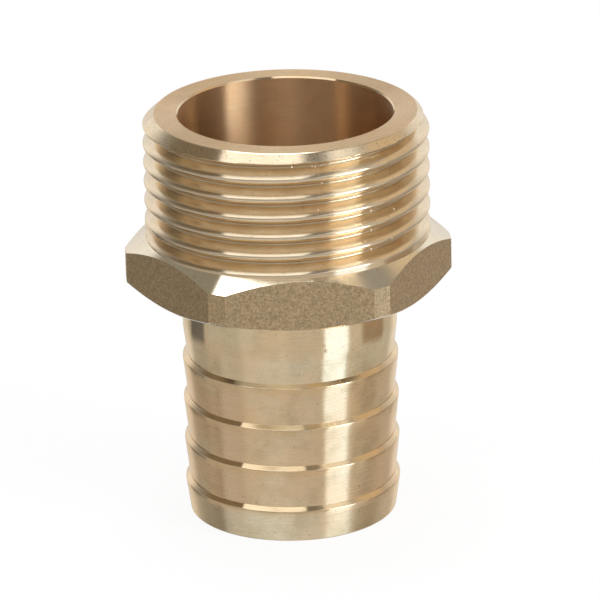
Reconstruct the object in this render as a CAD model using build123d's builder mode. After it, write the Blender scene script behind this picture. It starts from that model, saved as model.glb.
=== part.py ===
from build123d import *
import os
from math import cos, floor, radians, tan

os.makedirs("parts", exist_ok=True)

# A hose barb tail, forged and turned from one piece of brass: millimetres, standing on its hose end.

# Hose end: four barbs, each a slow cone with a short step above it
hose_bore_diameter = 20.5
barb_root_diameter = 24.3
barb_crest_diameter = 25.3
barb_pitch = 5.1
barb_count = 4
first_crest_height = 3.9
crest_land = 0.25
barb_step = 0.4
nose_edge_break = 0.15

# Shank between the barbs and the hexagon
shank_diameter = 25.1
shank_taper = 3.4
shank_length = 5.0

# Forged hexagon with six trimmed corners and a turned cone above and below
across_flats = 34.0
across_corners = 38.0
hex_height = 5.95
upper_cone_angle = 33.0
lower_cone_angle = 25.0

# Male pipe thread of 55 degrees, drawn as rings of its true flanks, with a plain neck under it
thread_major_diameter = 33.249
threads_per_inch = 11
thread_angle = 55.0
thread_end_length = 14.95
first_ring_depth = 1.25
neck_length = 1.5
end_face_diameter = 30.65
end_chamfer_length = 1.2

# Smooth bore behind the threaded end, stepping down to the hose bore
inlet_bore_diameter = 25.0
inlet_bore_depth = 17.0
mouth_edge_break = 0.25

# Levels along the axis
last_crest_height = first_crest_height + (barb_count - 1) * barb_pitch
hex_base = last_crest_height + barb_step + shank_taper + shank_length
hex_top = hex_base + hex_height
end_face = hex_top + thread_end_length

# Thread section: the crest is cut off flat by a sixth of the pitch, and the root is left sharp
thread_pitch = 25.4 / threads_per_inch
thread_crest_land = thread_pitch / 6
groove_half_width = (thread_pitch - thread_crest_land) / 2
groove_depth = groove_half_width / tan(radians(thread_angle / 2))
thread_major = thread_major_diameter / 2
groove_count = floor((thread_end_length - first_ring_depth - neck_length) / thread_pitch)

# Hexagon section
flat = across_flats / 2
sharp_corner = flat / cos(radians(30))
corner_trim = 2 * (sharp_corner - across_corners / 2)
upper_slope = tan(radians(upper_cone_angle))
lower_slope = tan(radians(lower_cone_angle))

with BuildPart() as turned_blank:
    # One turned profile: barbs, shank, the core inside the hexagon, neck and thread
    with BuildSketch(Plane.XZ) as blank_profile:
        with BuildLine():
            barb_root = barb_root_diameter / 2
            barb_crest = barb_crest_diameter / 2
            outline = [
                (0, 0),
                (barb_root - nose_edge_break, 0),
                (barb_root, nose_edge_break),
            ]
            for barb in range(barb_count):
                crest_top = first_crest_height + barb * barb_pitch
                outline += [
                    (barb_crest, crest_top - crest_land),
                    (barb_crest, crest_top),
                    (barb_root, crest_top + barb_step),
                ]
            outline += [
                (shank_diameter / 2, hex_base - shank_length),
                (shank_diameter / 2, hex_base + hex_height / 2),
                (thread_major, hex_base + hex_height / 2),
            ]
            for groove in reversed(range(groove_count)):
                groove_middle = end_face - first_ring_depth - (groove + 0.5) * thread_pitch
                outline += [
                    (thread_major, groove_middle - groove_half_width),
                    (thread_major - groove_depth, groove_middle),
                    (thread_major, groove_middle + groove_half_width),
                ]
            outline += [
                (thread_major, end_face - end_chamfer_length),
                (end_face_diameter / 2, end_face),
                (0, end_face),
            ]
            Polyline(*outline, close=True)
        make_face()
    revolve(axis=Axis.Z)

with BuildPart() as hexagon:
    with BuildSketch(Plane.XY.offset(hex_base)):
        RegularPolygon(radius=flat, side_count=6, major_radius=False)
    extrude(amount=thread_end_length)
    chamfer(hexagon.edges().filter_by(Axis.Z), length=corner_trim)
    # Two turned cones meet the flats at their middles and fall away towards the corners
    with BuildSketch(Plane.XZ) as turned_envelope:
        with BuildLine():
            core = shank_diameter / 2
            Polyline(
                (0, hex_base),
                (flat, hex_base),
                (sharp_corner, hex_base + (sharp_corner - flat) * lower_slope),
                (sharp_corner, hex_top - (sharp_corner - flat) * upper_slope),
                (core, hex_top + (flat - core) * upper_slope),
                (0, hex_top + (flat - core) * upper_slope),
                close=True,
            )
        make_face()
    revolve(axis=Axis.Z, mode=Mode.INTERSECT)

with BuildPart() as hose_barb_tail:
    add(turned_blank.part)
    add(hexagon.part)
    # The waterway is drilled from the end face: a hose bore through, and a wider inlet bore
    with Locations(Plane.XY.offset(end_face)):
        CounterBoreHole(
            radius=hose_bore_diameter / 2,
            counter_bore_radius=inlet_bore_diameter / 2,
            counter_bore_depth=inlet_bore_depth,
        )
    mouth = hose_barb_tail.faces().sort_by(Axis.Z)[-1].inner_wires()[0]
    chamfer(mouth.edges(), length=mouth_edge_break)

hose_barb_tail.part.label = "hose_barb_tail"
export_step(hose_barb_tail.part, "parts/hose_barb_tail.step")
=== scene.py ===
import math

import bmesh
import bpy
import numpy as np
from mathutils import Matrix, Vector, noise


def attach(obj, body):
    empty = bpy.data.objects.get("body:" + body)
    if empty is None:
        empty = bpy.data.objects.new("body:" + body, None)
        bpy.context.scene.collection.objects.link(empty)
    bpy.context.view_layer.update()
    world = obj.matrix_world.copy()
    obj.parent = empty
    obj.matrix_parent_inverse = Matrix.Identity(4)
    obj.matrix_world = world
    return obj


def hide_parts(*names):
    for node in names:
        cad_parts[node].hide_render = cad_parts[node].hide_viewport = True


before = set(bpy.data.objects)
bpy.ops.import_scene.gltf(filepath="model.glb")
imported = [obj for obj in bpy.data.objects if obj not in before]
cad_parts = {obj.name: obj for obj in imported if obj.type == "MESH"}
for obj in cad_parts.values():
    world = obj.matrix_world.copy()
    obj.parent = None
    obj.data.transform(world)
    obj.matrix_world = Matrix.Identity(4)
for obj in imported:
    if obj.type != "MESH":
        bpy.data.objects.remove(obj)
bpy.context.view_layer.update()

# The hose tail of the brass fitting: four barbs turned on the bar, each a slow cone that a hose
# slides over, with a short ledge above it that holds the hose. Heights and radii are in millimetres
# from the hose end, and the whole skin is a ring of columns, one row after another up the outside.
ACROSS_FLATS = 34.0
CORNER_REACH = 19.0
CORNER_COUNT = 6
STRIP_COLUMNS = 7
FLAT_COLUMNS = 50
strip_half_angle = math.atan(
    (ACROSS_FLATS / 2 / CORNER_REACH - math.cos(math.radians(30))) / math.sin(math.radians(30))
)
sector = 2 * math.pi / CORNER_COUNT
columns = np.concatenate([
    np.concatenate([
        corner * sector + np.linspace(-strip_half_angle, strip_half_angle, STRIP_COLUMNS, endpoint=False),
        corner * sector
        + np.linspace(strip_half_angle, sector - strip_half_angle, FLAT_COLUMNS, endpoint=False),
    ])
    for corner in range(CORNER_COUNT)
])
rows = []


def add_row(radius, height, finish):
    """One ring of the skin; finish names the surface between it and the next ring."""
    rows.append((np.broadcast_to(radius, columns.shape), np.broadcast_to(height, columns.shape), finish))


HOSE_BORE_RADIUS = 10.25
BORE_EDGE_BREAK = 0.08
HOSE_FACE_RING = 11.0
BARB_ROOT_RADIUS = 12.15
BARB_CREST_RADIUS = 12.65
FIRST_CREST_HEIGHT = 3.9
BARB_PITCH = 5.1
BARB_COUNT = 4
CREST_LAND = 0.25
BARB_LEDGE = 0.4
NOSE_EDGE_BREAK = 0.15
RAMP_ROWS = 6
EDGE_ROUNDING = 0.06
EDGE_MIDDLE = 0.3 * EDGE_ROUNDING
EDGE_INSET = 1.1 * EDGE_ROUNDING
EDGE_RISE = 0.5 * EDGE_ROUNDING

for ring in (HOSE_BORE_RADIUS + BORE_EDGE_BREAK, HOSE_FACE_RING, BARB_ROOT_RADIUS - NOSE_EDGE_BREAK):
    add_row(ring, 0.0, "faced")
ramp_start = (BARB_ROOT_RADIUS, NOSE_EDGE_BREAK)
for barb in range(BARB_COUNT):
    crest_top = FIRST_CREST_HEIGHT + barb * BARB_PITCH
    land_base = crest_top - CREST_LAND
    for step in np.linspace(0, 1, RAMP_ROWS, endpoint=False):
        add_row(
            ramp_start[0] + step * (BARB_CREST_RADIUS - ramp_start[0]),
            ramp_start[1] + step * (land_base - ramp_start[1]),
            "barb" if barb else "nose",
        )
    add_row(BARB_CREST_RADIUS, land_base, "barb")
    add_row(BARB_CREST_RADIUS, crest_top - EDGE_ROUNDING, "barb")
    add_row(BARB_CREST_RADIUS - EDGE_MIDDLE, crest_top - EDGE_MIDDLE, "barb")
    add_row(BARB_CREST_RADIUS - EDGE_INSET, crest_top + EDGE_RISE, "ledge")
    add_row(BARB_ROOT_RADIUS + EDGE_ROUNDING, crest_top + BARB_LEDGE - EDGE_ROUNDING, "ledge")
    ramp_start = (BARB_ROOT_RADIUS, crest_top + BARB_LEDGE)

# The plain shank between the barbs and the hexagon. It was turned to a cylinder and runs down to
# the last ledge on a short slow cone.
SHANK_RADIUS = 12.55
SHANK_TAPER = 3.4
TAPER_ROWS = 5
SHANK_ROWS = 6
HEX_BASE = 28.0
taper_top = ramp_start[1] + SHANK_TAPER
for step in np.linspace(0, 1, TAPER_ROWS, endpoint=False):
    add_row(
        ramp_start[0] + step * (SHANK_RADIUS - ramp_start[0]), ramp_start[1] + step * SHANK_TAPER, "shank"
    )
for height in np.linspace(taper_top, HEX_BASE, SHANK_ROWS, endpoint=False):
    add_row(SHANK_RADIUS, height, "shank")

# The hexagon for the spanner: forged flats with a sand-like skin, six corners trimmed off square,
# and a turned cone above and below that meets each flat in a curve.
HEX_HEIGHT = 5.95
UPPER_CONE_SLOPE = math.tan(math.radians(33))
LOWER_CONE_SLOPE = math.tan(math.radians(25))
NECK_RADIUS = 16.6245
UNDERSIDE_RING = 14.6
HEX_EDGE_BREAK = 0.12
HEX_ROWS = 12
CONE_ROWS = 5
hex_top = HEX_BASE + HEX_HEIGHT
flat_radius = ACROSS_FLATS / 2
to_corner = (columns + sector / 2) % sector - sector / 2
to_flat = columns % sector - sector / 2
hex_radius = np.minimum(CORNER_REACH / np.cos(to_corner), flat_radius / np.cos(to_flat))
upper_crease = hex_top - (hex_radius - flat_radius) * UPPER_CONE_SLOPE
lower_crease = HEX_BASE + (hex_radius - flat_radius) * LOWER_CONE_SLOPE
flat_base = lower_crease + HEX_EDGE_BREAK
add_row(SHANK_RADIUS, HEX_BASE, "cone")
add_row(UNDERSIDE_RING, HEX_BASE, "cone")
add_row(flat_radius - HEX_EDGE_BREAK, HEX_BASE, "cone")
add_row(hex_radius - HEX_EDGE_BREAK, lower_crease, "cone")
for step in np.linspace(0, 1, HEX_ROWS, endpoint=False):
    add_row(hex_radius, flat_base + step * (upper_crease - flat_base), "forged")
cone_top = hex_top + (flat_radius - NECK_RADIUS) * UPPER_CONE_SLOPE
for step in np.linspace(0, 1, CONE_ROWS, endpoint=False):
    add_row(
        hex_radius + step * (NECK_RADIUS - hex_radius),
        upper_crease + step * (cone_top - upper_crease),
        "cone",
    )

# The male pipe thread, 11 turns to the inch and 55 degrees between its flanks, cut as one
# right-hand helix. It runs out into the plain neck above the hexagon, and the lead chamfer at
# the end face cuts its first turn off.
END_FACE = 48.9
THREAD_PITCH = 25.4 / 11
CREST_LAND_WIDTH = 0.04
CREST_ROUNDING = 0.25
SHOULDER_ROUNDING = 2.4
SHOULDER_ANGLE = math.radians(45)
ROOT_ROUNDING = 0.15
FLANK_ANGLE = math.radians(27.5)
CREST_ANGLE = math.radians(175.9)
CREST_HEIGHT = END_FACE - 3.43
RUN_OUT_START = math.radians(215 - 4 * 360)
RUN_OUT_END = math.radians(140 - 4 * 360)
LEAD_CHAMFER = 1.2
FACE_RADIUS = 15.33
THREAD_ROWS = 172


def thread_radius(angle, height):
    """Radius of the threaded end at an angle and a height, both arrays."""
    turn = THREAD_PITCH / (2 * math.pi)
    from_root = height - (CREST_HEIGHT - THREAD_PITCH / 2 + turn * (angle - CREST_ANGLE))
    groove = np.round(from_root / THREAD_PITCH)
    off_root = np.abs(from_root - groove * THREAD_PITCH)
    off_crest = np.maximum(THREAD_PITCH / 2 - off_root - CREST_LAND_WIDTH / 2, 0)
    crest_end = CREST_ROUNDING * math.sin(SHOULDER_ANGLE)
    crest_drop = CREST_ROUNDING * (1 - math.cos(SHOULDER_ANGLE))
    shoulder_middle = crest_end - SHOULDER_ROUNDING * math.sin(SHOULDER_ANGLE)
    shoulder_end = shoulder_middle + SHOULDER_ROUNDING * math.cos(FLANK_ANGLE)
    shoulder_drop = crest_drop + SHOULDER_ROUNDING * (math.cos(SHOULDER_ANGLE) - math.sin(FLANK_ANGLE))
    root_arc = ROOT_ROUNDING * math.cos(FLANK_ANGLE)
    flank_width = (THREAD_PITCH - CREST_LAND_WIDTH) / 2 - shoulder_end - root_arc
    depth = (
        shoulder_drop + flank_width / math.tan(FLANK_ANGLE) + ROOT_ROUNDING * (1 - math.sin(FLANK_ANGLE))
    )
    on_crest = np.minimum(off_crest, crest_end)
    on_shoulder = np.clip(off_crest, crest_end, shoulder_end) - shoulder_middle
    on_root = np.minimum(off_root, root_arc)
    drop = np.select(
        [off_crest < crest_end, off_crest < shoulder_end, off_root < root_arc],
        [
            CREST_ROUNDING - np.sqrt(CREST_ROUNDING**2 - on_crest**2),
            crest_drop + SHOULDER_ROUNDING * math.cos(SHOULDER_ANGLE)
            - np.sqrt(SHOULDER_ROUNDING**2 - on_shoulder**2),
            depth - ROOT_ROUNDING + np.sqrt(ROOT_ROUNDING**2 - on_root**2),
        ],
        shoulder_drop + (off_crest - shoulder_end) / math.tan(FLANK_ANGLE),
    )
    along = angle + 2 * math.pi * groove
    cut = np.clip((along - RUN_OUT_END) / (RUN_OUT_START - RUN_OUT_END), 0, 1)
    cut = cut * cut * (3 - 2 * cut)
    threaded = NECK_RADIUS - np.maximum(0, drop - (1 - cut) * depth)
    chamfer = FACE_RADIUS + (END_FACE - height) * (NECK_RADIUS - FACE_RADIUS) / LEAD_CHAMFER
    return np.minimum(threaded, chamfer)


thread_heights = np.linspace(cone_top, END_FACE - EDGE_ROUNDING, THREAD_ROWS)
first_thread_row = len(rows)
for height in thread_heights:
    finish = "thread" if height < END_FACE - LEAD_CHAMFER else "lead"
    add_row(thread_radius(columns, np.full(columns.shape, height)), height, finish)

# The end face and the waterway: a flat turned ring, a small break at its mouth, the wide inlet
# bore, and the narrower hose bore below its shoulder.
END_FACE_RINGS = (14.7, 13.9, 13.3)
MOUTH_RADIUS = 12.67
INLET_RADIUS = 12.5
INLET_FLOOR = 31.9
INLET_ROWS = 14
HOSE_BORE_ROWS = 9
add_row(FACE_RADIUS - EDGE_ROUNDING, END_FACE, "faced")
for ring in END_FACE_RINGS:
    add_row(ring, END_FACE, "faced")
add_row(MOUTH_RADIUS, END_FACE, "ledge")
for height in np.linspace(END_FACE - (MOUTH_RADIUS - INLET_RADIUS), INLET_FLOOR, INLET_ROWS):
    add_row(INLET_RADIUS, height, "bore")
for height in np.linspace(INLET_FLOOR, BORE_EDGE_BREAK, HOSE_BORE_ROWS):
    add_row(HOSE_BORE_RADIUS, height, "bore")

# The rings are joined into one closed skin. Its thread takes its shading from the true helix, so
# that reflections run along the ridges without steps.
MILLIMETRE = 0.001
SHARP_EDGE = math.radians(24)
NEAR_CORNER = 0.04
DIFFERENCE = 0.002
radii = np.array([row[0] for row in rows])
heights = np.array([row[1] for row in rows])
row_count, column_count = radii.shape
points = np.stack([radii * np.cos(columns), radii * np.sin(columns), heights], axis=-1) * MILLIMETRE
index = np.arange(row_count * column_count).reshape(row_count, column_count)
above = np.roll(index, -1, axis=0)
quads = np.stack([index, np.roll(index, -1, axis=1), np.roll(above, -1, axis=1), above], axis=-1)
skin = bpy.data.meshes.new("hose_barb_tail_skin")
skin.from_pydata(points.reshape(-1, 3), [], quads.reshape(-1, 4))
skin.shade_smooth()
skin.set_sharp_from_angle(angle=SHARP_EDGE)
corner_normals = np.zeros(len(skin.loops) * 3, np.float32)
skin.corner_normals.foreach_get("vector", corner_normals)
corner_normals = corner_normals.reshape(row_count, column_count, 4, 3)

threaded_rows = slice(first_thread_row, first_thread_row + THREAD_ROWS - 1)
low_heights, high_heights = thread_heights[:-1, None], thread_heights[1:, None]
next_columns = columns + (np.roll(columns, -1) - columns) % (2 * math.pi)
turn_step = DIFFERENCE / NECK_RADIUS
for corner, (upper, ahead) in enumerate(((0, 0), (0, 1), (1, 1), (1, 0))):
    height = low_heights + (high_heights - low_heights) * (NEAR_CORNER, 1 - NEAR_CORNER)[upper]
    angle = columns + (next_columns - columns) * (NEAR_CORNER, 1 - NEAR_CORNER)[ahead]
    angle, height = np.broadcast_arrays(angle[None, :], height)
    radius = thread_radius(angle, height)
    around = (
        thread_radius(angle + turn_step, height) - thread_radius(angle - turn_step, height)
    ) / (2 * turn_step)
    upward = (
        thread_radius(angle, height + DIFFERENCE) - thread_radius(angle, height - DIFFERENCE)
    ) / (2 * DIFFERENCE)
    cosine, sine = np.cos(angle), np.sin(angle)
    normal = np.stack([
        radius * cosine + around * sine, radius * sine - around * cosine, -radius * upward
    ], axis=-1)
    corner_normals[threaded_rows, :, corner] = normal / np.linalg.norm(normal, axis=-1, keepdims=True)
skin.normals_split_custom_set(corner_normals.reshape(-1, 3).tolist())

tail = bpy.data.objects.new("hose_barb_tail_brass", skin)
bpy.context.scene.collection.objects.link(tail)
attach(tail, "root")
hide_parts("hose_barb_tail")


# The brass as the lathe left it: a clean yellow metal with fine rings round the axis, faint
# stains and a few darker specks. All finishes of the part start from it.
class Shade:
    """A socket of a node tree; arithmetic on it adds Math nodes."""

    def __init__(self, tree, socket=None):
        self.tree, self.socket = tree, socket

    def node(self, kind, settings=None, sockets=None, out=0):
        """A new node: its settings first, then its sockets' values or links; returns one output."""
        made = self.tree.nodes.new(kind)
        for name, value in (settings or {}).items():
            if name == "stops":
                ramp = made.color_ramp.elements
                while len(ramp) < len(value):
                    ramp.new(0.5)
                for element, (place, grey) in zip(ramp, value):
                    element.position, element.color = place, (grey, grey, grey, 1)
            else:
                setattr(made, name, value)
        for name, value in (sockets or {}).items():
            if isinstance(value, Shade):
                self.tree.links.new(value.socket, made.inputs[name])
            else:
                made.inputs[name].default_value = value
        return Shade(self.tree, made.outputs[out] if made.outputs else None)

    def maths(self, operation, first, second=0.0):
        return self.node("ShaderNodeMath", {"operation": operation}, {0: first, 1: second})

    def __add__(self, other):
        return self.maths("ADD", self, other)

    def __radd__(self, other):
        return self.maths("ADD", other, self)

    def __sub__(self, other):
        return self.maths("SUBTRACT", self, other)

    def __rsub__(self, other):
        return self.maths("SUBTRACT", other, self)

    def __mul__(self, other):
        return self.maths("MULTIPLY", self, other)

    def __rmul__(self, other):
        return self.maths("MULTIPLY", other, self)

    def __truediv__(self, other):
        return self.maths("DIVIDE", self, other)

    def ease(self, low, high):
        """0 below low, 1 above high, and a smooth step between them."""
        return self.node(
            "ShaderNodeMapRange", {"interpolation_type": "SMOOTHSTEP"},
            {"Value": self, "From Min": low, "From Max": high},
        )

    def mix(self, factor, first, second):
        """Two colours mixed by a factor."""
        return self.node("ShaderNodeMix", {"data_type": "RGBA"}, {0: factor, 6: first, 7: second}, 2)

    def split(self):
        """The three numbers of a vector."""
        first = self.node("ShaderNodeSeparateXYZ", sockets={0: self})
        return [Shade(self.tree, output) for output in first.socket.node.outputs]


def empty_tree(owner):
    """The cleared node tree of a material or world."""
    owner.use_nodes = True
    owner.node_tree.nodes.clear()
    return Shade(owner.node_tree)


def grain(shade, place, scale, detail=2.0, roughness=0.5):
    """Even noise from 0 to 1 at so many cells to the metre."""
    return shade.node("ShaderNodeTexNoise", sockets={
        "Vector": place, "Scale": scale, "Detail": detail, "Roughness": roughness,
    })


def tinted(tone, red, green, blue):
    """A tone with its three channels scaled."""
    return tone[0] * red, tone[1] * green, tone[2] * blue, 1


FACE_RING_SHARE = 0.8
RING_STRETCH = 0.05
RING_CELLS = 9000.0
STAIN_CELLS = 260.0
SPECK_CELLS = 3400.0
BLUSH_CELLS = 170.0
STAINED = (0.78, 0.72, 0.62)
BLUSHED = (1.04, 0.95, 0.9)
GROOVED = (0.6, 0.6, 0.6)
SPECKED = (0.4, 0.4, 0.4)
ROOT_SHADE_TINT = (0.5, 0.5, 0.5)
GROOVE_STRENGTH = 0.22
SPECK_STRENGTH = 0.5
ROOT_SHADE_STRENGTH = 0.5
SPECK_START, SPECK_FULL, SPECK_GAIN = 0.84, 0.96, 0.36
SPECK_RELIEF = 0.5
RING_ROUGHNESS = 0.1
STAIN_ROUGHNESS = 0.08


def brass(name, tone, roughness, ring_depth, mottle, anisotropy=1.0, root_shade_reach=None, speckle=0.5):
    """Turned brass; the rings follow the height on walls and the radius on faces. Where a reach is given,
    the colour darkens nearer the axis than it, as painted shade in the thread's roots.
    """
    made = bpy.data.materials.new(name)
    shade = empty_tree(made)
    place = shade.node("ShaderNodeTexCoord", out=3)
    across, along, upward = place.split()
    reach = shade.maths("SQRT", across * across + along * along)
    ringed = shade.node("ShaderNodeCombineXYZ", sockets={
        0: across * RING_STRETCH, 1: along * RING_STRETCH, 2: upward - FACE_RING_SHARE * reach,
    })
    fine_rings = grain(shade, ringed, RING_CELLS, 3.0, 0.6)
    stains = grain(shade, place, STAIN_CELLS, 4.0, 0.6)
    specks = grain(shade, place, SPECK_CELLS, 1.0, 0.5)
    patina = stains.ease(0.35, 0.7) * mottle
    colour = shade.mix(patina, tone, tinted(tone, *STAINED))
    blush = grain(shade, place, BLUSH_CELLS, 3.0, 0.55).ease(0.4, 0.62) * mottle
    colour = shade.mix(blush, colour, tinted(tone, *BLUSHED))
    colour = shade.mix(fine_rings.ease(0.3, 0.75) * GROOVE_STRENGTH, colour, tinted(tone, *GROOVED))
    speck_mask = specks.ease(SPECK_START - SPECK_GAIN * speckle, SPECK_FULL - SPECK_GAIN * speckle)
    colour = shade.mix(speck_mask * SPECK_STRENGTH, colour, tinted(tone, *SPECKED))
    # Painted shade: the colour darkens in the thread's roots, nearer the axis than the given reach, where
    # shade falls.
    if root_shade_reach:
        painted_root_shade = 1 - reach.ease(root_shade_reach[0] * MILLIMETRE, root_shade_reach[1] * MILLIMETRE)
        colour = shade.mix(painted_root_shade * ROOT_SHADE_STRENGTH, colour, tinted(tone, *ROOT_SHADE_TINT))
    rough = roughness + (fine_rings - 0.5) * RING_ROUGHNESS + (stains - 0.5) * STAIN_ROUGHNESS
    relief = fine_rings + SPECK_RELIEF * specks
    bump = shade.node("ShaderNodeBump", sockets={"Strength": 1.0, "Distance": ring_depth, "Height": relief})
    surface = shade.node("ShaderNodeBsdfPrincipled", sockets={
        "Base Color": colour, "Metallic": 1.0, "Roughness": rough, "Normal": bump,
        "Anisotropic": anisotropy, "Anisotropic Rotation": 0.25,
    })
    shade.node("ShaderNodeOutputMaterial", sockets={0: surface})
    return made


# Painted shade in the thread's roots: inwards of 15 to 15.5 mm from the axis, the thread's colour darkens.
THREAD_ROOT_SHADE_REACH = (15.0, 15.5)
turned = {
    # Painted light: the nose, the ramp of the lowest barb, has a lighter tone than the barbs above. It
    # stands in for the reflection of the pale floor close below it.
    "nose": brass("turned_brass_nose_painted_light", (1.0, 0.84, 0.57, 1), 0.24, 5e-6, 0.9, 0.8),
    "barb": brass("turned_brass_barbs", (0.95, 0.76, 0.5, 1), 0.16, 5e-6, 0.9, 0.8),
    "ledge": brass("turned_brass_ledges", (0.88, 0.68, 0.43, 1), 0.11, 1e-6, 0.3),
    "shank": brass("turned_brass_shank", (1.0, 0.86, 0.61, 1), 0.14, 4e-6, 0.8, 0.8),
    "cone": brass("turned_brass_cones", (0.93, 0.82, 0.63, 1), 0.1, 1e-6, 0.2),
    "thread": brass("turned_brass_thread", (0.93, 0.77, 0.55, 1), 0.17, 1e-6, 0.3, 0.85, THREAD_ROOT_SHADE_REACH),
    "lead": brass("turned_brass_lead", (0.93, 0.77, 0.54, 1), 0.19, 4e-6, 0.4, 0.9, speckle=0.68),
    "faced": brass("turned_brass_end_faces", (0.94, 0.69, 0.41, 1), 0.36, 8e-6, 0.5, 0.7),
    "bore": brass("turned_brass_bore", (0.8, 0.57, 0.34, 1), 0.34, 8e-6, 0.6, 1.0, speckle=0.3),
}

# The forged skin of the hexagon: the same brass, grained like fine sand by the forging die, with
# the tops of the grains rubbed brighter than the hollows between them.
SAND_CELLS = 6500.0
PIT_CELLS = 2900.0
GRAIN_DEPTH = 4e-5
PIT_RELIEF = 0.8
HOLLOW_BRASS = (0.44, 0.32, 0.185, 1)
RUBBED_BRASS = (0.8, 0.61, 0.38, 1)
forged = bpy.data.materials.new("forged_brass_grain")
shade = empty_tree(forged)
place = shade.node("ShaderNodeTexCoord", out=3)
sand = grain(shade, place, SAND_CELLS, 3.0, 0.6)
pits = grain(shade, place, PIT_CELLS, 2.0, 0.5)
relief = sand + PIT_RELIEF * pits
rubbed = (0.6 * sand + 0.4 * pits).ease(0.35, 0.7)
colour = shade.mix(rubbed, HOLLOW_BRASS, RUBBED_BRASS)
bump = shade.node("ShaderNodeBump", sockets={"Strength": 1.0, "Distance": GRAIN_DEPTH, "Height": relief})
surface = shade.node("ShaderNodeBsdfPrincipled", sockets={
    "Base Color": colour, "Metallic": 1.0, "Roughness": 0.4 - 0.1 * rubbed, "Normal": bump,
})
shade.node("ShaderNodeOutputMaterial", sockets={0: surface})
turned["forged"] = forged

finishes = list(turned)
for name in finishes:
    skin.materials.append(turned[name])
face_finish = np.repeat([finishes.index(row[2]) for row in rows], column_count)
skin.polygons.foreach_set("material_index", face_finish.astype(np.int32))
skin.update()

# Burrs that the tools left: small rough beads of brass, half sunk in the thread's crests, along
# the lower edge of the lead chamfer, on the shank and on the barbs. Each is given by its degrees
# round the axis, its radius and height on the part, and its own radius.
BURRS = [
    (300.9, 16.62, 41.19, 0.2), (300.8, 16.62, 38.9, 0.21), (300.6, 16.62, 36.6, 0.19),
    (311.7, 16.62, 37.13, 0.14), (313.1, 16.62, 40.55, 0.15), (268.1, 16.62, 47.7, 0.15),
    (279.8, 16.62, 45.58, 0.12), (278.0, 16.62, 42.38, 0.12), (283.9, 12.55, 24.21, 0.2),
    (285.0, 12.55, 23.56, 0.22), (300.1, 12.2, 9.0, 0.24), (301.4, 12.3, 8.9, 0.2),
    (335.4, 12.3, 1.63, 0.2), (274.6, 12.55, 22.07, 0.09), (277.7, 12.5, 20.24, 0.08),
]
EDGE_BURR_COUNT = 26
EDGE_BURR_START = 276
EDGE_BURR_SPACING = 1.15
EDGE_BURR_RADIUS = 16.62
EDGE_BURR_HEIGHT = 47.66
EDGE_BURR_WANDER = 0.07
EDGE_BURR_SIZE = 0.08
EDGE_BURR_SPREAD = 0.03
BURR_SHARE_SUNK = 0.1
BURR_LUMPS = 9
BURR_LEAST, BURR_ROUGHNESS = 0.85, 0.4
burr_marks = BURRS + [
    (
        EDGE_BURR_START + EDGE_BURR_SPACING * count,
        EDGE_BURR_RADIUS,
        EDGE_BURR_HEIGHT + EDGE_BURR_WANDER * math.sin(5.1 * count),
        EDGE_BURR_SIZE + EDGE_BURR_SPREAD * math.sin(2.3 * count),
    )
    for count in range(EDGE_BURR_COUNT)
]
burr_mesh = bmesh.new()
for azimuth, radius, height, size in burr_marks:
    turn = math.radians(azimuth)
    reach = radius - BURR_SHARE_SUNK * size
    middle = Vector((reach * math.cos(turn), reach * math.sin(turn), height))
    bead = bmesh.ops.create_icosphere(burr_mesh, subdivisions=2, radius=size)["verts"]
    for vertex in bead:
        rough = noise.noise(vertex.co * BURR_LUMPS + middle)
        vertex.co = middle + vertex.co * (BURR_LEAST + BURR_ROUGHNESS * rough)
bmesh.ops.scale(burr_mesh, vec=(MILLIMETRE, MILLIMETRE, MILLIMETRE), verts=burr_mesh.verts)
burr_skin = bpy.data.meshes.new("thread_burr_beads")
burr_mesh.to_mesh(burr_skin)
burr_mesh.free()
burr_skin.shade_smooth()
burr_skin.materials.append(turned["cone"])
burrs = bpy.data.objects.new("thread_burrs", burr_skin)
bpy.context.scene.collection.objects.link(burrs)
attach(burrs, "root")
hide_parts("hose_barb_tail")

# The studio: plain soft light in a pale room, which the brass mirrors. Its walls are set by the
# bearing round the part, 0 towards the camera and 90 to its right, in three bands: a low one that
# the thread's flanks mirror, one for the barbs and the shank, and one above the horizon.
CAMERA_TURN = math.radians(4.116)
studio = bpy.data.worlds.new("studio")
bpy.context.scene.world = studio
studio_shade = empty_tree(studio)
east, north, up = studio_shade.node("ShaderNodeTexCoord", out=0).split()
right = east * math.cos(CAMERA_TURN) - north * math.sin(CAMERA_TURN)
away = east * math.sin(CAMERA_TURN) + north * math.cos(CAMERA_TURN)
bearing = studio_shade.maths("ARCTAN2", right, 0.0 - away) * (180 / math.pi)


def glow(strength, tint=(1, 1, 1)):
    """Light of one strength and tint."""
    return studio_shade.node("ShaderNodeBackground", sockets={"Color": tint + (1,), "Strength": strength})


def over(mask, under, patch):
    """A patch of light over another where the mask is 1."""
    return studio_shade.node("ShaderNodeMixShader", sockets={0: mask, 1: under, 2: patch})


def span(value, low, high, soft):
    """1 between low and high, with soft edges."""
    return value.ease(low - soft, low + soft) * (1 - value.ease(high - soft, high + soft))


def wall(tint, *stops):
    """A band of wall whose light follows the bearing, from (bearing in degrees, level) pairs."""
    level = studio_shade.node(
        "ShaderNodeValToRGB", {"stops": [((turn + 180) / 360, light) for turn, light in stops]},
        {0: (bearing + 180) / 360},
    )
    return over(level, glow(0.0), glow(1.0, tint))


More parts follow.
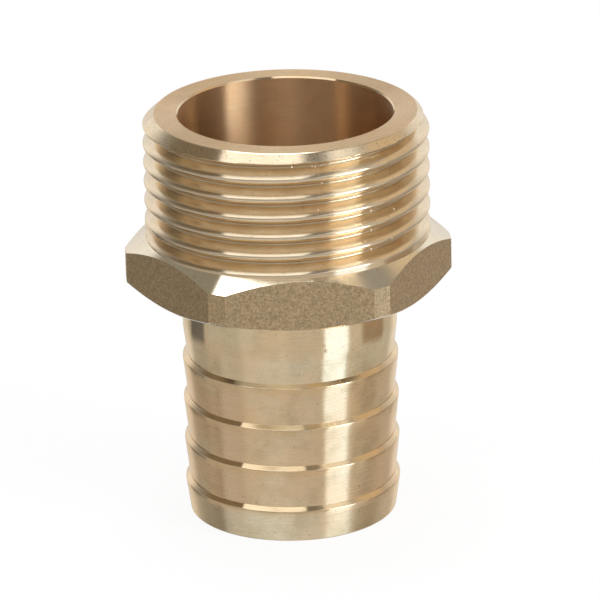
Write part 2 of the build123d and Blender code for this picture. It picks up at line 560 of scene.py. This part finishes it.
low_wall = wall(
    (1.02, 1.14, 1.32),
    (-180, 0.85), (-148, 0.6), (-134, 0.03), (-93, 0.03), (-88, 0.56), (-58, 0.64), (-56, 0.64),
    (-38, 0.74), (-8, 0.72), (4, 0.66), (28, 0.6), (68, 0.56), (74, 0.48), (79, 0.2), (112, 0.18),
    (128, 0.34), (146, 0.7), (180, 0.85),
)
level_wall = wall(
    (1.02, 0.94, 0.83),
    (-180, 0.75), (-146, 0.7), (-138, 0.46), (-128, 0.4), (-110, 0.4), (-102, 0.45), (-79, 0.47),
    (-60, 0.46), (-56, 0.52), (-50, 0.56), (-10, 0.58), (0, 0.52), (28, 0.53), (66, 0.6), (80, 0.58),
    (92, 0.5), (106, 0.48), (121, 0.5), (136, 0.48), (152, 0.8), (180, 0.75),
)
high_wall = wall(
    (1, 1, 1),
    (-180, 0.64), (-150, 0.95), (-141, 0.85), (-134, 0.4), (-130, 0.3), (-92, 0.3), (-88, 0.4),
    (-60, 0.42), (-48, 0.38), (-25, 0.38), (-8, 0.52), (36, 0.5), (84, 0.6), (87, 0.4), (118, 0.36),
    (129, 0.6), (150, 0.95), (180, 0.68),
)
LOW_WALL_DEPTH = 0.62
LOW_WALL_RISE = 0.07
LOW_WALL_EDGE = 0.025
CEILING_LIGHT = 0.5
to_side = studio_shade.maths("ABSOLUTE", bearing)
over_low = up + LOW_WALL_DEPTH - LOW_WALL_RISE * to_side.ease(55, 95)
low_band = 1 - over_low.ease(-LOW_WALL_EDGE, LOW_WALL_EDGE)
ceiling = up.ease(0.42, 0.6)
room = over(low_band, level_wall, low_wall)
room = over(up.ease(-0.2, 0.05), room, high_wall)
room = over(ceiling, room, glow(CEILING_LIGHT))

# Darker patches on the side walls, which the shank and the thread mirror, and a tall strip lamp to
# the right of the camera. It is brightest near its right edge and fades out overhead.
LAMP_LEFT, LAMP_RIGHT = 37.5, 66
LAMP_EDGE = 1.2
shank_band = span(up, -0.4, -0.24, 0.015)
for start, end, soft, band, patch in (
    (-134, -106, 2, shank_band, glow(0.11)),
    (76, 114, 3, low_band, glow(0.18, (1, 0.88, 0.68))),
    (84, 120, 3, shank_band, glow(0.31, (1, 0.72, 0.48))),
):
    room = over(span(bearing, start, end, soft) * band, room, patch)
lamp_top = over(bearing.ease(44, 47), glow(2.6), over(bearing.ease(57, 60), glow(6), glow(9)))
lamp_top = over(up.ease(0.48, 0.56), lamp_top, glow(1.2))
strip_lamp = over(span(up, 0.15, 0.8, 0.1), glow(1.05, (1.12, 1.26, 1.45)), lamp_top)
strip_lamp = over(low_band, strip_lamp, glow(0.66, (1.05, 1, 0.9)))
lamp_shape = span(bearing, LAMP_LEFT, LAMP_RIGHT, LAMP_EDGE) * (1 - up.ease(0.75, 0.9))
room = over(lamp_shape, room, strip_lamp)

# Overhead hang a dim card on the left, a narrow grey strip, a white card on the right, three tinted
# cards behind it, and in the middle a soft box that is brightest at its far edge. Their places are
# slopes: how far sideways and backwards for one up.
LOWEST_SLOPE = 0.05
overhead_up = studio_shade.maths("MAXIMUM", up, LOWEST_SLOPE)
sideways, backwards = right / overhead_up, away / overhead_up
skewed = sideways - 0.68 * backwards
leaning = sideways + 0.73 * backwards
card = over(leaning.ease(-0.44, -0.4), glow(0.05), glow(0.27, (1.05, 1, 0.85)))
card = over(leaning.ease(-0.64, -0.6), glow(0.2, (1.15, 0.93, 0.66)), card)
room = over(span(skewed, -2.2, -0.58, 0.03) * backwards.ease(-0.35, -0.2) * ceiling, room, card)
strip_reach = span(backwards, -0.8, 0.45, 0.04) * ceiling
room = over(span(sideways, 0.14, 0.38, 0.03) * strip_reach, room, glow(0.2))
white_card = span(sideways, 0.38, 0.72, 0.03) * span(backwards, -0.8, 0.06, 0.05) * ceiling
room = over(white_card, room, glow(1.0))
behind = backwards.ease(0.05, 0.12) * ceiling
for start, end, patch in (
    (0.3, 0.43, glow(0.72, (1, 0.86, 0.66))),
    (0.43, 0.66, glow(0.33, (1, 0.95, 0.86))),
    (0.66, 1.6, glow(0.68, (1, 0.82, 0.6))),
):
    room = over(span(sideways, start, end, 0.02) * behind, room, patch)
box_reach = skewed.ease(-0.61, -0.57) * (1 - sideways.ease(0.14, 0.165)) * span(backwards, -0.8, 0.45, 0.05)
slant = backwards - 0.62 * (sideways * sideways)
box = over(slant.ease(-0.27, -0.08), glow(1.3, (1, 1.02, 1.03)), glow(0.72, (1, 1.04, 1.08)))
box = over(slant.ease(0.0, 0.05), box, glow(4, (0.97, 1, 1.06)))
room = over(box_reach * up.ease(0.3, 0.4), room, box)
rays = studio_shade.node("ShaderNodeLightPath")
seen = over(rays, room, glow(1.0))
studio_shade.node("ShaderNodeOutputWorld", sockets={0: seen})

# A plain pale floor under the part. It keeps a soft shadow, and the part mirrors the room and
# not the floor.
FLOOR_REACH = 3.0
FLOOR_DROP = 1e-5
FLOOR_COLOUR = (0.9, 0.9, 0.9, 1)
FLOOR_GLOW = 1.04
GLOW_SHARE = 0.86
floor_mesh = bpy.data.meshes.new("floor_sheet")
floor_mesh.from_pydata(
    [(-FLOOR_REACH, -FLOOR_REACH, 0), (FLOOR_REACH, -FLOOR_REACH, 0),
     (FLOOR_REACH, FLOOR_REACH, 0), (-FLOOR_REACH, FLOOR_REACH, 0)],
    [], [(0, 1, 2, 3)],
)
floor = bpy.data.objects.new("floor", floor_mesh)
floor.location.z = -FLOOR_DROP
bpy.context.scene.collection.objects.link(floor)
floor.visible_glossy = False
floor_paint = bpy.data.materials.new("floor_white")
shade = empty_tree(floor_paint)
matt = shade.node("ShaderNodeBsdfDiffuse", sockets={"Color": FLOOR_COLOUR})
white = shade.node("ShaderNodeEmission", sockets={"Strength": FLOOR_GLOW})
rays = shade.node("ShaderNodeLightPath")
painted = shade.node("ShaderNodeMixShader", sockets={0: rays * GLOW_SHARE, 1: matt, 2: white})
shade.node("ShaderNodeOutputMaterial", sockets={0: painted})
floor_mesh.materials.append(floor_paint)

# The camera stands a little to the left of the front flat and looks down at 20 degrees through
# a long lens.
CAMERA_ELEVATION = math.radians(20.425)
CAMERA_ROLL = math.radians(-1.207)
CAMERA_DISTANCE = 0.69953
AIM = Vector((0.001234, -0.000089, 0.025482))
FOCAL_LENGTH = 358.62
SENSOR_WIDTH = 36
NEAREST, FARTHEST = 0.01, 20
camera_data = bpy.data.cameras.new("camera")
camera_data.lens = FOCAL_LENGTH
camera_data.sensor_width = SENSOR_WIDTH
camera_data.clip_start, camera_data.clip_end = NEAREST, FARTHEST
camera = bpy.data.objects.new("camera", camera_data)
bpy.context.scene.collection.objects.link(camera)
back = Vector((
    -math.sin(CAMERA_TURN) * math.cos(CAMERA_ELEVATION),
    -math.cos(CAMERA_TURN) * math.cos(CAMERA_ELEVATION),
    math.sin(CAMERA_ELEVATION),
))
level_right = Vector((math.cos(CAMERA_TURN), -math.sin(CAMERA_TURN), 0))
level_up = back.cross(level_right)
camera_right = level_right * math.cos(CAMERA_ROLL) + level_up * math.sin(CAMERA_ROLL)
camera_up = back.cross(camera_right)
camera.matrix_world = Matrix.Translation(AIM + back * CAMERA_DISTANCE) @ Matrix(
    (camera_right, camera_up, back)
).transposed().to_4x4()
bpy.context.scene.camera = camera
bpy.context.scene.view_settings.view_transform = "Standard"
